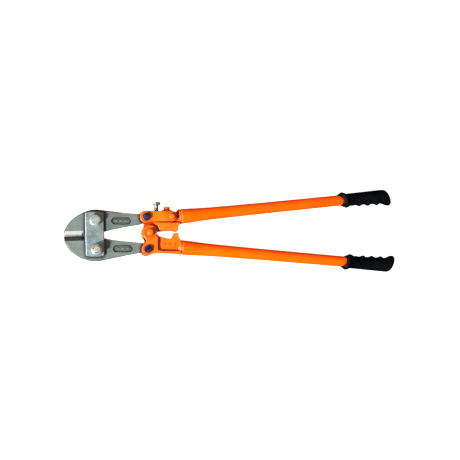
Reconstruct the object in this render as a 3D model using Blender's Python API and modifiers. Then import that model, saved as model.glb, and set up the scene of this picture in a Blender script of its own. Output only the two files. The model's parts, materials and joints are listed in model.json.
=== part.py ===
"""Adjustable two-hand bolt cutters, 750 mm long, lying flat.

Axes: +X runs from the jaws to the grips, +Y to the side of the adjusting screw and +Z up through the tool's
thickness. The origin is under the middle of the tool, on the plane that it rests on. The jaws are shut.
Lengths below are in millimetres and angles in degrees, unless a name says otherwise.
"""

import math

import bmesh
import bpy
from mathutils import Matrix, Vector

MM = 0.001

# Frame of the head: its origin is midway between the jaw bolts, x runs back along the cutting line.
MID_HEIGHT = 20.5
HEAD_CENTRE = (-310.0, -18.8)
HEAD_TILT = 2.8

# Pivots, in the head's frame.
JAW_PIVOT = (0.0, 31.7)
REAR_PIVOT = (111.3, 35.2)
CENTRE_PIVOT = (117.9, 1.1)
LINK_PIVOT = (167.9, 33.9)

# Thickness layers, measured from the middle plane.
JAW_HALF = 8.0
STRAP_INNER = 8.3
STRAP_OUTER = 13.3
EAR_INNER = 8.4
EAR_OUTER = 14.9
RIB_HALF = 12.4
CORE_HALF = 9.4
SEAT = 0.3

# Jaws and straps.
NOSE_X = -66.0
EDGE_GAP = 0.15
EDGE_HALF = 0.5
BEVEL_WIDTH = 10.5
BEVEL_END = -24.0
RIM_CHAMFER = 2.4
TAIL_RADIUS, LOWER_TAIL_RADIUS, TAIL_INNER = 14.4, 12.0, 11.2

# Room that the upper head leaves round the upper jaw's tail as the tool opens: angle and radius about the rear pivot.
TAIL_ROOM = [(14, 14.7), (4, 13.9), (-8, 13.1), (-20, 12.7), (-32, 12.7), (-45, 13.3), (-60, 13.9)]
TAIL_ROOM += [(-75, 14.4), (-90, 14.8), (-102, 15.0)]
POCKET_SIZE = (43.0, 15.5)
POCKET_DEPTH = 2.6
STRAP_ENDS = (-21.6, 18.7)
STRAP_HEIGHT = 49.0
STRAP_CURVE = 95.0
STRAP_TURN = -1.3
STRAP_SHIFT = 2.2

# Fasteners: shank radius, width across the hexagon's flats.
JAW_SHANK, JAW_HEX = 7.0, 22.0
REAR_SHANK, REAR_HEX = 4.5, 15.8
PIVOT_SHANK, PIVOT_HEX = 4.5, 15.0
SCREW_SHANK, SCREW_HEX = 4.6, 15.8
CLAMP_SHANK, CLAMP_HEX = 2.6, 12.6
HOLE_GAP = 0.3
OPEN_HOLE = 9.0

# Handle heads and adjusting link.
EAR_RADIUS = 13.5
LUG_RADIUS = 15.0
CHEEK_LUG = 15.8
LINK_END_RADIUS = 10.6
ROOM_RADIUS = 16.0
LINK_TOP = 34.9
LINK_BOTTOM = 11.9
BRIDGE_BOTTOM = 29.2
WEB_TOP = 26.2
SCREW_X = -176.2
SCREW_TOP = 55.9
CLAMP_X = -153.4
CLAMP_TOP = 46.0
COLLAR_RADIUS = 16.2
SPIGOT_RADIUS = 12.4
SPIGOT_LENGTH = 38.0
COLLAR_LENGTH = 3.2
COLLAR_SLOPE = 4.8

# Tubes: distance along the axis and outer diameter. Both tubes are the same part.
UPPER_MOUTH, UPPER_ANGLE = (-122.6, 25.1), 6.53
LOWER_MOUTH, LOWER_ANGLE = (-121.7, -43.1), -4.45
TUBE_PROFILE = [(0, 32.0), (22, 31.2), (34, 29.7), (52, 28.2), (75, 27.1), (115, 26.1), (190, 24.9), (320, 24.1)]
TUBE_LENGTH = 468.0
TUBE_WALL = 2.2

# Grips: the flange's middle along the tube, then sections of distance, outer, inner and sideways half size.
UPPER_GRIP_START, LOWER_GRIP_START = 381.0, 384.4
GRIP_SLANT = (14.0, 19.0)
GRIP_LENGTH = 106.8
GRIP_SECTIONS = [
    (-12.0, 13.5, 13.5, 13.5),
    (-7.0, 15.2, 15.2, 16.2),
    (-2.5, 17.8, 17.9, 20.4),
    (1.0, 17.9, 18.0, 20.5),
    (3.5, 16.8, 17.2, 19.2),
    (7.0, 14.8, 15.5, 16.9),
    (10.0, 14.0, 14.8, 15.8),
]
GRIP_LIP = 6.0
GRIP_BODY = (15.0, 18.7, 16.6)
GRIP_CAP = 10.0
RIDGE_START, RIDGE_PITCH, RIDGE_COUNT, RIDGE_HEIGHT = 30.0, 20.6, 3, 1.7
GRIP_LOBE = 4.4
BORE_CLEARANCE = 0.3
GRIP_BORE_END = 90.0

STEEL = ((0.42, 0.44, 0.41), 0.38, 0.9)
ZINC = ((0.46, 0.50, 0.50), 0.35, 0.9)
BRIGHT = ((0.74, 0.73, 0.69), 0.25, 1.0)
BLACKED = ((0.035, 0.03, 0.06), 0.35, 0.8)
ORANGE = ((0.95, 0.22, 0.01), 0.42, 0.0)
TUBE_ORANGE = ((0.92, 0.12, 0.008), 0.35, 0.0)
RUBBER = ((0.012, 0.012, 0.014), 0.5, 0.0)


def clear_scene():
    """Remove every object, and make one collection for the parts and one for the cutters."""
    for old in list(bpy.data.objects):
        bpy.data.objects.remove(old, do_unlink=True)
    collections = []
    for name in ("BoltCutters", "Cutters"):
        group = bpy.data.collections.new(name)
        bpy.context.scene.collection.children.link(group)
        collections.append(group)
    return collections


PARTS, CUTTERS = clear_scene()


def finish_part(part, look):
    """Move a finished part out of the cutters and give it its own material."""
    colour, roughness, metallic = look
    material = bpy.data.materials.new(part.name)
    material.use_nodes = True
    shader = material.node_tree.nodes["Principled BSDF"]
    shader.inputs["Base Color"].default_value = (*colour, 1.0)
    shader.inputs["Roughness"].default_value = roughness
    shader.inputs["Metallic"].default_value = metallic
    part.data.materials.clear()
    part.data.materials.append(material)
    part.data.shade_smooth()
    part.data.set_sharp_from_angle(angle=math.radians(35))
    CUTTERS.objects.unlink(part)
    PARTS.objects.link(part)
    part.hide_render = False
    part.display_type = "TEXTURED"
    return part


def new_object(name, data, frame):
    """Make a hidden wire object, which is a cutter until finish_part moves it."""
    made = bpy.data.objects.new(name, data)
    CUTTERS.objects.link(made)
    made.matrix_world = frame
    made.hide_render = True
    made.display_type = "WIRE"
    return made


def frame_at(x, y, z=0.0, turn=0.0):
    """Frame at a point of the tool's middle plane, turned about +Z."""
    place = Matrix.Translation(Vector((x, y, z + MID_HEIGHT)) * MM)
    return place @ Matrix.Rotation(math.radians(turn), 4, "Z")


def axis_frame(origin, x_axis, z_axis):
    """Frame with a given x axis and z axis at a point of the tool, in millimetres."""
    x_axis = Vector(x_axis).normalized()
    z_axis = Vector(z_axis).normalized()
    y_axis = z_axis.cross(x_axis)
    turn = Matrix((x_axis, y_axis, z_axis)).transposed().to_4x4()
    height = Vector((0.0, 0.0, MID_HEIGHT))
    return Matrix.Translation((Vector(origin) + height) * MM) @ turn


TOOL = frame_at(0.0, 0.0)
HEAD = frame_at(*HEAD_CENTRE, turn=HEAD_TILT)


def tool_point(head_point):
    """Turn a point of the head's frame into the tool's x and y, in millimetres."""
    spot = HEAD @ (Vector((*head_point, 0.0)) * MM)
    return spot.x / MM, spot.y / MM


def mirrored(point, side):
    """Place a point of the upper jaw's side on either side of the cutting line."""
    return point[0], point[1] * side


def arc(centre, radius, start, end, steps):
    """Points of an arc, from one angle to another."""
    points = []
    for i in range(steps + 1):
        angle = math.radians(start + (end - start) * i / steps)
        points.append((centre[0] + radius * math.cos(angle), centre[1] + radius * math.sin(angle)))
    return points


def smooth_through(points, steps=3):
    """Points of a smooth open curve through the given ones."""
    ends = [points[0], *points, points[-1]]
    result = []
    for a, b, c, d in zip(ends, ends[1:], ends[2:], ends[3:]):
        for i in range(steps):
            t = i / steps
            result.append(
                tuple(
                    0.5 * (2 * q + (r - p) * t + (2 * p - 5 * q + 4 * r - s) * t * t + (3 * q - p - 3 * r + s) * t**3)
                    for p, q, r, s in zip(a, b, c, d)
                )
            )
    result.append(points[-1])
    return result


def rounded_bar(length, width, steps=6):
    """Outline of a slot with round ends, centred on the origin."""
    reach = (length - width) / 2
    right = arc((reach, 0.0), width / 2, -90, 90, steps)
    left = arc((-reach, 0.0), width / 2, 90, 270, steps)
    return right + left


def prism(name, outline, low, high, frame=TOOL):
    """Flat outline, filled and extruded along the frame's z axis, as a mesh."""
    curve = bpy.data.curves.new(name, "CURVE")
    curve.dimensions = "2D"
    curve.fill_mode = "BOTH"
    curve.extrude = (high - low) / 2 * MM
    spline = curve.splines.new("POLY")
    spline.points.add(len(outline) - 1)
    for spot, (x, y) in zip(spline.points, outline):
        spot.co = (x * MM, y * MM, 0.0, 1.0)
    spline.use_cyclic_u = True
    middle = Matrix.Translation((0.0, 0.0, (high + low) / 2 * MM))
    flat = new_object(name + "_curve", curve, frame @ middle)
    bpy.context.view_layer.update()
    seen = flat.evaluated_get(bpy.context.evaluated_depsgraph_get())
    mesh = bpy.data.meshes.new_from_object(seen)
    edit = bmesh.new()
    edit.from_mesh(mesh)
    bmesh.ops.remove_doubles(edit, verts=edit.verts, dist=0.00001)
    bmesh.ops.dissolve_limit(edit, angle_limit=0.001, verts=edit.verts, edges=edit.edges)
    bmesh.ops.recalc_face_normals(edit, faces=edit.faces)
    edit.to_mesh(mesh)
    edit.free()
    bpy.data.objects.remove(flat, do_unlink=True)
    return new_object(name, mesh, frame @ middle)


def turned(name, profile, frame, steps=24, ring=False):
    """Turn a profile of radius and height about the frame's z axis. A ring's profile is a closed loop."""
    mesh = bpy.data.meshes.new(name)
    edges = [(i, i + 1) for i in range(len(profile) - 1)]
    if ring:
        edges.append((len(profile) - 1, 0))
    mesh.from_pydata([(r * MM, 0.0, z * MM) for r, z in profile], edges, [])
    made = new_object(name, mesh, frame)
    screw = made.modifiers.new("Turn", "SCREW")
    screw.axis = "Z"
    screw.angle = math.tau
    screw.steps = steps
    screw.render_steps = steps
    screw.use_merge_vertices = True
    screw.merge_threshold = 0.00001
    return made


def rod(name, radius, low, high, frame, steps=20):
    """Plain cylinder along the frame's z axis, mostly a cutter for holes."""
    mesh = bpy.data.meshes.new(name)
    edit = bmesh.new()
    bmesh.ops.create_cone(
        edit,
        cap_ends=True,
        segments=steps,
        radius1=radius * MM,
        radius2=radius * MM,
        depth=(high - low) * MM,
        matrix=Matrix.Translation((0.0, 0.0, (high + low) / 2 * MM)),
    )
    edit.to_mesh(mesh)
    edit.free()
    return new_object(name, mesh, frame)


def combine(target, other, operation):
    """Join, cut or intersect one object with another."""
    step = target.modifiers.new(other.name, "BOOLEAN")
    step.operation = operation
    step.solver = "EXACT"
    step.object = other
    return target


def round_rim(target, width):
    """Chamfer the sharp edges round a prism's two faces."""
    bevel = target.modifiers.new("Rim", "BEVEL")
    bevel.width = width * MM
    bevel.segments = 1
    bevel.limit_method = "ANGLE"
    bevel.angle_limit = math.radians(60)
    return target


def vertical(point, flip=False):
    """Frame for a fastener through the tool at a point, its head up, or down when flipped."""
    return axis_frame((*point, 0.0), (1.0, 0.0, 0.0), (0.0, 0.0, -1.0 if flip else 1.0))


def crossways(x):
    """Frame for a fastener that lies along +Y, its head at high y."""
    return axis_frame((x, 0.0, 0.0), (1.0, 0.0, 0.0), (0.0, 1.0, 0.0))


# ---------------------------------------------------------------- fasteners


def hexagonal(blank, flats, low, high, frame, turn):
    """Intersect a turned blank with a hexagonal bar of the given width across flats."""
    corner = flats / 2 / math.cos(math.radians(30))
    outline = arc((0.0, 0.0), corner, turn, turn + 300, 5)
    bar = prism(blank.name + "_hex", outline, low - 1.0, high + 1.0, frame)
    return combine(blank, bar, "INTERSECT")


def hex_bolt(name, frame, shank, flats, head_low, head_high, end, look, turn=0.0):
    """Bolt with a chamfered hexagonal head. Its shank runs down to the end height."""
    corner = flats / 2 / math.cos(math.radians(30))
    chamfer = (corner - flats / 2 * 0.93) * 0.6
    profile = [
        (0.0, head_high),
        (flats / 2 * 0.93, head_high),
        (corner, head_high - chamfer),
        (corner, head_low),
        (shank, head_low),
        (shank, end + 1.0),
        (shank - 0.8, end),
        (0.0, end),
    ]
    bolt = turned(name, profile, frame)
    hexagonal(bolt, flats, end, head_high, frame, turn)
    return finish_part(bolt, look)


def hex_nut(name, frame, shank, flats, low, high, look, turn=0.0):
    """Nut with both faces chamfered."""
    corner = flats / 2 / math.cos(math.radians(30))
    face = flats / 2 * 0.95
    chamfer = (corner - face) * 0.55
    bore = shank + HOLE_GAP
    profile = [
        (bore, high),
        (face, high),
        (corner, high - chamfer),
        (corner, low + chamfer),
        (face, low),
        (bore, low),
    ]
    nut = turned(name, profile, frame, ring=True)
    hexagonal(nut, flats, low, high, frame, turn)
    return finish_part(nut, look)


def domed_bolt(name, frame, shank, head_radius, head_low, head_high, end, look):
    """Bolt with a round head: a short skirt under a flat-topped dome."""
    skirt = (head_high - head_low) * 0.3
    rise = head_high - head_low - skirt
    dome = []
    for i in range(1, 5):
        angle = math.radians(22.5 * i)
        radius = head_radius * (0.42 + 0.58 * math.sin(angle))
        dome.append((radius, head_low + skirt + rise * math.cos(angle)))
    profile = [
        (0.0, head_high),
        (head_radius * 0.42, head_high),
        *dome,
        (head_radius, head_low),
        (shank, head_low),
        (shank, end + 1.0),
        (shank - 0.8, end),
        (0.0, end),
    ]
    return finish_part(turned(name, profile, frame), look)


def make_fasteners():
    """Every bolt, nut, screw and washer."""
    down = -MID_HEIGHT
    upper_jaw = tool_point(JAW_PIVOT)
    lower_jaw = tool_point(mirrored(JAW_PIVOT, -1))
    strap_face = STRAP_OUTER + SEAT
    hex_bolt("upper_jaw_bolt", vertical(upper_jaw), JAW_SHANK, JAW_HEX, strap_face, 22.8, down + 0.4, BRIGHT, -6.0)
    hex_nut("upper_jaw_nut", vertical(upper_jaw), JAW_SHANK, JAW_HEX, down, -strap_face, BRIGHT, 12.0)
    under = vertical(lower_jaw, flip=True)
    hex_bolt("lower_jaw_bolt", under, JAW_SHANK, JAW_HEX, strap_face, -down, -28.2, BRIGHT, 20.0)
    hex_nut("lower_jaw_nut", vertical(lower_jaw), JAW_SHANK, JAW_HEX, strap_face, 24.6, BRIGHT, 22.0)

    ear_face = EAR_OUTER + SEAT
    rears = {"upper": tool_point(REAR_PIVOT), "lower": tool_point(mirrored(REAR_PIVOT, -1))}
    for name, spot in rears.items():
        seat = vertical(spot)
        hex_bolt(name + "_rear_bolt", seat, REAR_SHANK, REAR_HEX, ear_face, 20.2, down + 0.4, BLACKED, 28.0)
        hex_nut(name + "_rear_nut", seat, REAR_SHANK, REAR_HEX, down, -ear_face, BLACKED, 8.0)

    centre = vertical(tool_point(CENTRE_PIVOT))
    domed_bolt("center_bolt", centre, PIVOT_SHANK, 8.2, ear_face, 23.0, down + 0.4, ORANGE)
    hex_nut("center_nut", centre, PIVOT_SHANK, PIVOT_HEX, down, -ear_face, ORANGE, 15.0)
    link = vertical(tool_point(LINK_PIVOT))
    domed_bolt("link_bolt", link, PIVOT_SHANK, 9.0, ear_face, 21.5, down + 0.4, ORANGE)
    hex_nut("link_nut", link, PIVOT_SHANK, PIVOT_HEX, down, -ear_face, ORANGE, 3.0)

    screw = crossways(SCREW_X)
    head = SCREW_TOP - 5.6
    hex_bolt("adjusting_screw", screw, SCREW_SHANK, SCREW_HEX, head, SCREW_TOP, WEB_TOP + SEAT, BRIGHT, 10.0)
    clamp = crossways(CLAMP_X)
    washer_low = LINK_TOP + SEAT
    washer_high = washer_low + 3.0
    head = washer_high + SEAT
    hex_bolt("clamp_bolt", clamp, CLAMP_SHANK, CLAMP_HEX, head, CLAMP_TOP, LINK_BOTTOM + 4.0, ORANGE, 14.0)
    bore = CLAMP_SHANK + HOLE_GAP
    profile = [
        (bore, washer_high),
        (10.8, washer_high),
        (11.4, washer_high - 0.6),
        (11.4, washer_low),
        (bore, washer_low),
    ]
    finish_part(turned("clamp_washer", profile, clamp, ring=True), ORANGE)


# ---------------------------------------------------------------- jaws and straps


def jaw_outline(side):
    """Outline of a jaw in the head's frame: nose, outer edge, tail eye, inner edge and cutting edge."""
    outer = smooth_through(
        [
            (NOSE_X + 1.0, 13.6),
            (-56.2, 27.9),
            (-45.4, 38.1),
            (-33.6, 45.8),
            (-20.4, 51.6),
            (-6.7, 54.9),
            (3.0, 55.5),
            (13.2, 54.4),
            (37.4, 50.6),
            (68.0, 45.5),
        ]
    )
    tail_radius = TAIL_RADIUS if side > 0 else LOWER_TAIL_RADIUS
    eye = arc(REAR_PIVOT, tail_radius, 150, 84, 5) + arc(REAR_PIVOT, TAIL_INNER, 70, -100, 10)
    inner = smooth_through([(100.0, 20.6), (69.0, 16.6), (36.2, 11.4), (14.0, 5.8), (4.0, 1.6)])
    relief = arc((-19.0, EDGE_GAP), 3.6, 0, 180, 6)
    nose = [(NOSE_X, EDGE_GAP), (NOSE_X, 4.0)]
    outline = nose + outer + eye + inner + [(-3.0, EDGE_GAP)] + relief + [(BEVEL_END, EDGE_GAP)]
    return [mirrored(point, side) for point in outline]


def chamfer_outer_rim(jaw, side):
    """Chamfer the long outer edge on both faces, from the nose to the tail."""
    edit = bmesh.new()
    edit.from_mesh(jaw.data)
    rim = []
    for edge in edit.edges:
        a, b = (v.co / MM for v in edge.verts)
        flat = abs(a.z - b.z) < 0.01
        outside = min(a.y * side, b.y * side) > 12.0 and max(a.x, b.x) < 98.3
        inner_edge = max(a.y * side, b.y * side) < 21.0 and a.x > 20.0
        if flat and outside and not inner_edge:
            rim.append(edge)
    bmesh.ops.bevel(edit, geom=rim, offset=RIM_CHAMFER * MM, segments=1, affect="EDGES", clamp_overlap=True)
    edit.to_mesh(jaw.data)
    edit.free()


def cut_cutting_bevels(jaw, side):
    """Grind the two bevels that meet at the cutting edge."""
    slope = (JAW_HALF - EDGE_HALF) / (BEVEL_WIDTH - EDGE_GAP)
    low_y = EDGE_GAP - 2.0
    high_y = BEVEL_WIDTH + 2.0
    along = axis_frame((0.0, 0.0, 0.0), (0.0, 1.0, 0.0), (1.0, 0.0, 0.0))
    along.translation = (0.0, 0.0, 0.0)
    for face in (1, -1):
        wedge = [
            (low_y * side, (EDGE_HALF - 2.0 * slope) * face),
            (high_y * side, (JAW_HALF + 2.0 * slope) * face),
            (low_y * side, (JAW_HALF + 2.0 * slope) * face),
        ]
        cutter = prism(f"{jaw.name}_bevel_{face}", wedge, NOSE_X - 5.0, BEVEL_END, HEAD @ along)
        combine(jaw, cutter, "DIFFERENCE")


def sink_pocket(jaw, centre, turn):
    """Shallow pocket in the front face of the arm, with a row of plain raised bars."""
    place = HEAD @ Matrix.Translation((centre[0] * MM, centre[1] * MM, 0.0))
    place = place @ Matrix.Rotation(math.radians(turn), 4, "Z")
    floor = JAW_HALF - POCKET_DEPTH
    combine(jaw, prism(jaw.name + "_pocket", rounded_bar(*POCKET_SIZE, 12), floor, JAW_HALF + 1.0, place), "DIFFERENCE")
    for i in range(3):
        shift = Matrix.Translation(((i - 1) * 10.5 * MM, 0.0, 0.0))
        bar = rounded_bar(7.6, 4.4, 8)
        combine(jaw, prism(f"{jaw.name}_bar_{i}", bar, floor - 1.0, floor + 1.0, place @ shift), "UNION")


def make_jaw(name, side, tail_hole, pocket_centre, pocket_turn):
    """One jaw: a flat forging with a bevelled cutting edge, a bolt hole and a tail eye."""
    jaw = prism(name, jaw_outline(side), -JAW_HALF, JAW_HALF, HEAD)
    chamfer_outer_rim(jaw, side)
    cut_cutting_bevels(jaw, side)
    sink_pocket(jaw, pocket_centre, pocket_turn)
    holes = ((JAW_PIVOT, JAW_SHANK + HOLE_GAP), (REAR_PIVOT, tail_hole))
    for number, (spot, radius) in enumerate(holes):
        place = vertical(tool_point(mirrored(spot, side)))
        combine(jaw, rod(f"{name}_hole_{number}", radius, -12.0, 12.0, place, 24), "DIFFERENCE")
    return finish_part(jaw, STEEL)


def make_strap(name, low, high):
    """Joint strap between the jaw bolts, its ends curved like the jaws' backs."""
    left, right = STRAP_ENDS
    middle = (left + right) / 2
    reach = math.degrees(math.asin((right - left) / 2 / STRAP_CURVE))
    drop = STRAP_HEIGHT - STRAP_CURVE
    top = arc((middle, drop), STRAP_CURVE, 90 + reach, 90 - reach, 8)
    outline = top + [(x, -y) for x, y in reversed(top)]
    outline = [(x, y + STRAP_SHIFT) for x, y in outline]
    strap = prism(name, outline, low, high, HEAD @ Matrix.Rotation(math.radians(STRAP_TURN), 4, "Z"))
    round_rim(strap, 1.6)
    for side in (1, -1):
        place = vertical(tool_point(mirrored(JAW_PIVOT, side)))
        combine(strap, rod(f"{name}_hole_{side}", JAW_SHANK + HOLE_GAP, -16.0, 16.0, place, 24), "DIFFERENCE")
    return finish_part(strap, ZINC)


# ---------------------------------------------------------------- handle heads


def handle_frame(mouth, angle):
    """Frame at a tube's mouth whose z axis runs down the tube and whose y axis points along +Z."""
    along = (math.cos(math.radians(angle)), math.sin(math.radians(angle)), 0.0)
    across = (-along[1], along[0], 0.0)
    return axis_frame((*mouth, 0.0), across, along)


def add_collar(casting, mouth, angle):
    """Round collar that the tube butts against, and the spigot that the tube is pressed over."""
    profile = [
        (0.0, SPIGOT_LENGTH),
        (SPIGOT_RADIUS - 1.2, SPIGOT_LENGTH),
        (SPIGOT_RADIUS, SPIGOT_LENGTH - 1.5),
        (SPIGOT_RADIUS, -SEAT),
        (COLLAR_RADIUS - 0.8, -SEAT),
        (COLLAR_RADIUS, -SEAT - 0.8),
        (COLLAR_RADIUS, -COLLAR_LENGTH),
        (COLLAR_RADIUS - COLLAR_SLOPE, -COLLAR_LENGTH - COLLAR_SLOPE),
        (0.0, -COLLAR_LENGTH - COLLAR_SLOPE),
    ]
    collar = turned(casting.name + "_collar", profile, handle_frame(mouth, angle))
    combine(casting, collar, "UNION")


def drill(casting, points_and_radii):
    """Holes through the tool's thickness."""
    for number, (spot, radius) in enumerate(points_and_radii):
        place = vertical(spot)
        combine(casting, rod(f"{casting.name}_hole_{number}", radius, -25.0, 25.0, place, 24), "DIFFERENCE")


def lower_cheek_outline(centre, rear):
    """Cheek of the lower head: centre lug, waist, rear eye, bottom rim and pocket edge."""
    lug = arc(centre, CHEEK_LUG, -30, 205, 12)
    waist = smooth_through([(-205.0, -21.8), (-200.4, -29.6), (-205.0, -37.6)])
    eye = arc(rear, EAR_RADIUS, 135, 310, 10)
    bottom = smooth_through([(-184.0, -57.4), (-175.9, -55.9), (-157.0, -55.5), (-129.4, -56.4), (-123.9, -57.6)])
    pocket = [(-123.9, -52.2), (-172.6, -51.6), (-175.4, -48.8), (-175.4, -21.4)]
    return lug + waist + eye + bottom + pocket


def lower_core_outline(centre, rear):
    """Middle plate of the lower head, which stays clear of the jaw's tail and of the other head's tongue."""
    clear_rear = arc(rear, TAIL_RADIUS + 0.7, -28, 38, 5)
    clear_centre = arc(centre, LUG_RADIUS + 0.9, -66, -10, 6)
    top = smooth_through(
        [(-173.6, -18.4), (-168.6, -20.4), (-161.0, -22.2), (-153.0, -24.2), (-147.4, -24.6), (-142.4, -22.8)], 2
    )
    stop = [(-139.8, -19.0), (-138.5, -14.6), (-137.6, -12.6), (-136.4, -11.7)]
    stop += [(-130.2, -11.7), (-129.2, -13.0), (-128.7, -18.2), (-126.9, -23.2), (-123.9, -27.0)]
    bottom = smooth_through([(-123.9, -57.4), (-129.4, -56.2), (-157.0, -55.3), (-175.9, -55.7)], 2)
    return clear_rear + clear_centre + top + stop + bottom


def make_lower_head():
    """Lower handle head: two cheeks round the jaw's tail and the other head's tongue, web, stop and collar."""
    centre = tool_point(CENTRE_PIVOT)
    rear = tool_point(mirrored(REAR_PIVOT, -1))
    head = prism("lower_handle_head", lower_core_outline(centre, rear), -CORE_HALF, CORE_HALF)
    for face in (1, -1):
        inner, outer = sorted((EAR_INNER * face, EAR_OUTER * face))
        cheek = prism(f"lower_cheek_{face}", lower_cheek_outline(centre, rear), inner, outer)
        combine(head, round_rim(cheek, 1.2), "UNION")
    for i in range(3):
        place = frame_at(-162.0 + 11.5 * i, -38.0, 0.0, -1.5)
        bar = prism(f"lower_head_bar_{i}", rounded_bar(8.0, 5.2, 8), CORE_HALF - 1.0, CORE_HALF + 1.2, place)
        combine(head, bar, "UNION")
    add_collar(head, LOWER_MOUTH, LOWER_ANGLE)
    drill(head, [(centre, PIVOT_SHANK + HOLE_GAP), (rear, REAR_SHANK + HOLE_GAP)])
    return finish_part(head, ORANGE)


def upper_web_outline(centre, rear):
    """Web of the upper head: centre lug, neck round the jaw's tail, top edge under the link, stop bump."""
    lug = arc(centre, LUG_RADIUS, 150, 370, 14)
    bottom = smooth_through([(-176.1, -9.4), (-162.8, -7.6), (-149.6, -6.0), (-140.0, -6.0)], 2)
    bump = [(-137.6, -7.0), (-136.0, -7.8), (-131.0, -7.9), (-130.0, -6.8), (-129.7, -0.5), (-128.7, 3.4)]
    back = [(-126.8, 6.4), (-124.4, 8.6), (-126.0, 39.4), (-127.2, 40.2), (-129.6, 38.8), (-131.8, 35.0)]
    top_left = [(-132.6, WEB_TOP), (-182.6, WEB_TOP)]
    clear_rear = [arc(rear, radius, angle, angle, 1)[0] for angle, radius in TAIL_ROOM]
    return lug + bottom + bump + back + top_left + clear_rear


def make_upper_head():
    """Upper handle head: a web that is the tongue at the centre pivot, a lower rib, a stop and the collar."""
    centre = tool_point(CENTRE_PIVOT)
    rear = tool_point(REAR_PIVOT)
    link = tool_point(LINK_PIVOT)
    head = prism("upper_handle_head", upper_web_outline(centre, rear), -JAW_HALF, JAW_HALF)
    rib = arc(centre, 22.0, 78, 14, 6)
    rib += [(-162.8, -7.4), (-149.6, -5.8), (-140.0, -5.8), (-136.2, -7.6), (-131.2, -7.7), (-130.3, -6.6)]
    rib += [(-130.0, -0.4), (-129.0, 3.6), (-127.0, 6.6), (-124.8, 8.6), (-124.8, 11.1), (-182.0, 11.1)]
    combine(head, round_rim(prism("upper_rib", rib, -RIB_HALF, RIB_HALF), 1.2), "UNION")
    add_collar(head, UPPER_MOUTH, UPPER_ANGLE)
    drill(head, [(centre, PIVOT_SHANK + HOLE_GAP), (link, PIVOT_SHANK + HOLE_GAP)])
    hole = rod("upper_head_clamp_hole", CLAMP_SHANK + HOLE_GAP, LINK_BOTTOM + 3.0, 40.0, crossways(CLAMP_X))
    combine(head, hole, "DIFFERENCE")
    room = arc(link, ROOM_RADIUS, -42, 88, 10)
    room += [(link[0], link[1] + 22.0), (-168.0, link[1] + 22.0), (-168.0, room[0][1])]
    for face in (1, -1):
        low, high = sorted((JAW_HALF * face, 30.0 * face))
        combine(head, prism(f"upper_head_link_room_{face}", room, low, high), "DIFFERENCE")
    return finish_part(head, ORANGE)


def make_link():
    """Adjusting link: two side plates round the upper head's web and the jaw's tail, joined by a bridge."""
    rear = tool_point(REAR_PIVOT)
    pivot = tool_point(LINK_PIVOT)
    front_eye = arc(rear, EAR_RADIUS, 92, 268, 12)
    lower_edge = smooth_through([(-193.0, 10.4), (-186.0, LINK_BOTTOM), (-166.0, LINK_BOTTOM + 0.4)], 2)
    rear_end = arc(pivot, LINK_END_RADIUS, -92, 12, 8) + [(-133.9, 30.4), (-135.9, 33.6), (-139.0, LINK_TOP)]
    side = front_eye + lower_edge + rear_end
    pieces = []
    for face in (1, -1):
        inner, outer = sorted((EAR_INNER * face, EAR_OUTER * face))
        pieces.append(round_rim(prism(f"link_side_{face}", side, inner, outer), 1.2))
    bridge = [(-183.2, BRIDGE_BOTTOM), (-183.2, LINK_TOP), (-139.2, LINK_TOP), (-136.2, BRIDGE_BOTTOM)]
    link = prism("adjusting_link", bridge, -EAR_OUTER + 1.0, EAR_OUTER - 1.0)
    for piece in pieces:
        combine(link, piece, "UNION")
    drill(link, [(rear, REAR_SHANK + HOLE_GAP), (pivot, PIVOT_SHANK + HOLE_GAP)])
    screw_hole = rod("link_screw_hole", SCREW_SHANK + 0.6, 20.0, 45.0, crossways(SCREW_X))
    clamp_hole = rod("link_clamp_hole", CLAMP_SHANK + 0.8, 20.0, 45.0, crossways(CLAMP_X))
    combine(link, screw_hole, "DIFFERENCE")
    combine(link, clamp_hole, "DIFFERENCE")
    return finish_part(link, ORANGE)


# ---------------------------------------------------------------- tubes and grips


def make_tube(name, mouth, angle):
    """Handle tube, swaged wide at its mouth and tapering towards the grip, open at both ends."""
    profile = [*TUBE_PROFILE, (TUBE_LENGTH, TUBE_PROFILE[-1][1])]
    outer = [(diameter / 2, along) for along, diameter in reversed(profile)]
    seat = SPIGOT_RADIUS + HOLE_GAP
    inner = [(seat, 0.0), (seat, SPIGOT_LENGTH + 1.0)]
    inner += [(diameter / 2 - TUBE_WALL, along) for along, diameter in profile if along > SPIGOT_LENGTH + 1.0]
    tube = turned(name, outer + inner, handle_frame(mouth, angle), ring=True)
    return finish_part(tube, TUBE_ORANGE)


def grip_sections():
    """Sections of a grip: distance, outer half, inner half and sideways half."""
    sections = list(GRIP_SECTIONS)
    start, outer_start, inner_start, depth_start = sections[-1]
    body_end = GRIP_LENGTH - GRIP_CAP
    lobe_start = RIDGE_START + RIDGE_PITCH * (RIDGE_COUNT - 0.5)
    count = 25
    for i in range(1, count + 1):
        t = i / count
        along = start + (body_end - start) * t
        outer = outer_start + (GRIP_BODY[0] - outer_start) * t
        inner = inner_start + (GRIP_BODY[1] - inner_start) * t**0.8
        depth = depth_start + (GRIP_BODY[2] - depth_start) * t
        turn = math.tau * (along - RIDGE_START) / RIDGE_PITCH
        rise = RIDGE_HEIGHT * min(1.0, max(0.0, (along - 14.0) / 10.0))
        if along < lobe_start:
            inner += rise * (math.cos(turn) + 0.2 * math.cos(2 * turn))
        else:
            lift = (along - lobe_start) / (body_end - 3.0 - lobe_start)
            inner += GRIP_LOBE * math.sin(math.pi / 2 * min(1.0, lift)) ** 2 - 0.8 * rise * max(0.0, 1.0 - lift)
        sections.append((along, outer, inner, depth))
    _, outer, inner, depth = sections[-1]
    for angle in (22.0, 42.0, 60.0, 76.0, 90.0):
        turn = math.radians(angle)
        scale = max(0.3, math.cos(turn) ** 0.6)
        sections.append((body_end + GRIP_CAP * math.sin(turn), outer * scale, inner * scale, depth * scale))
    return sections


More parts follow.
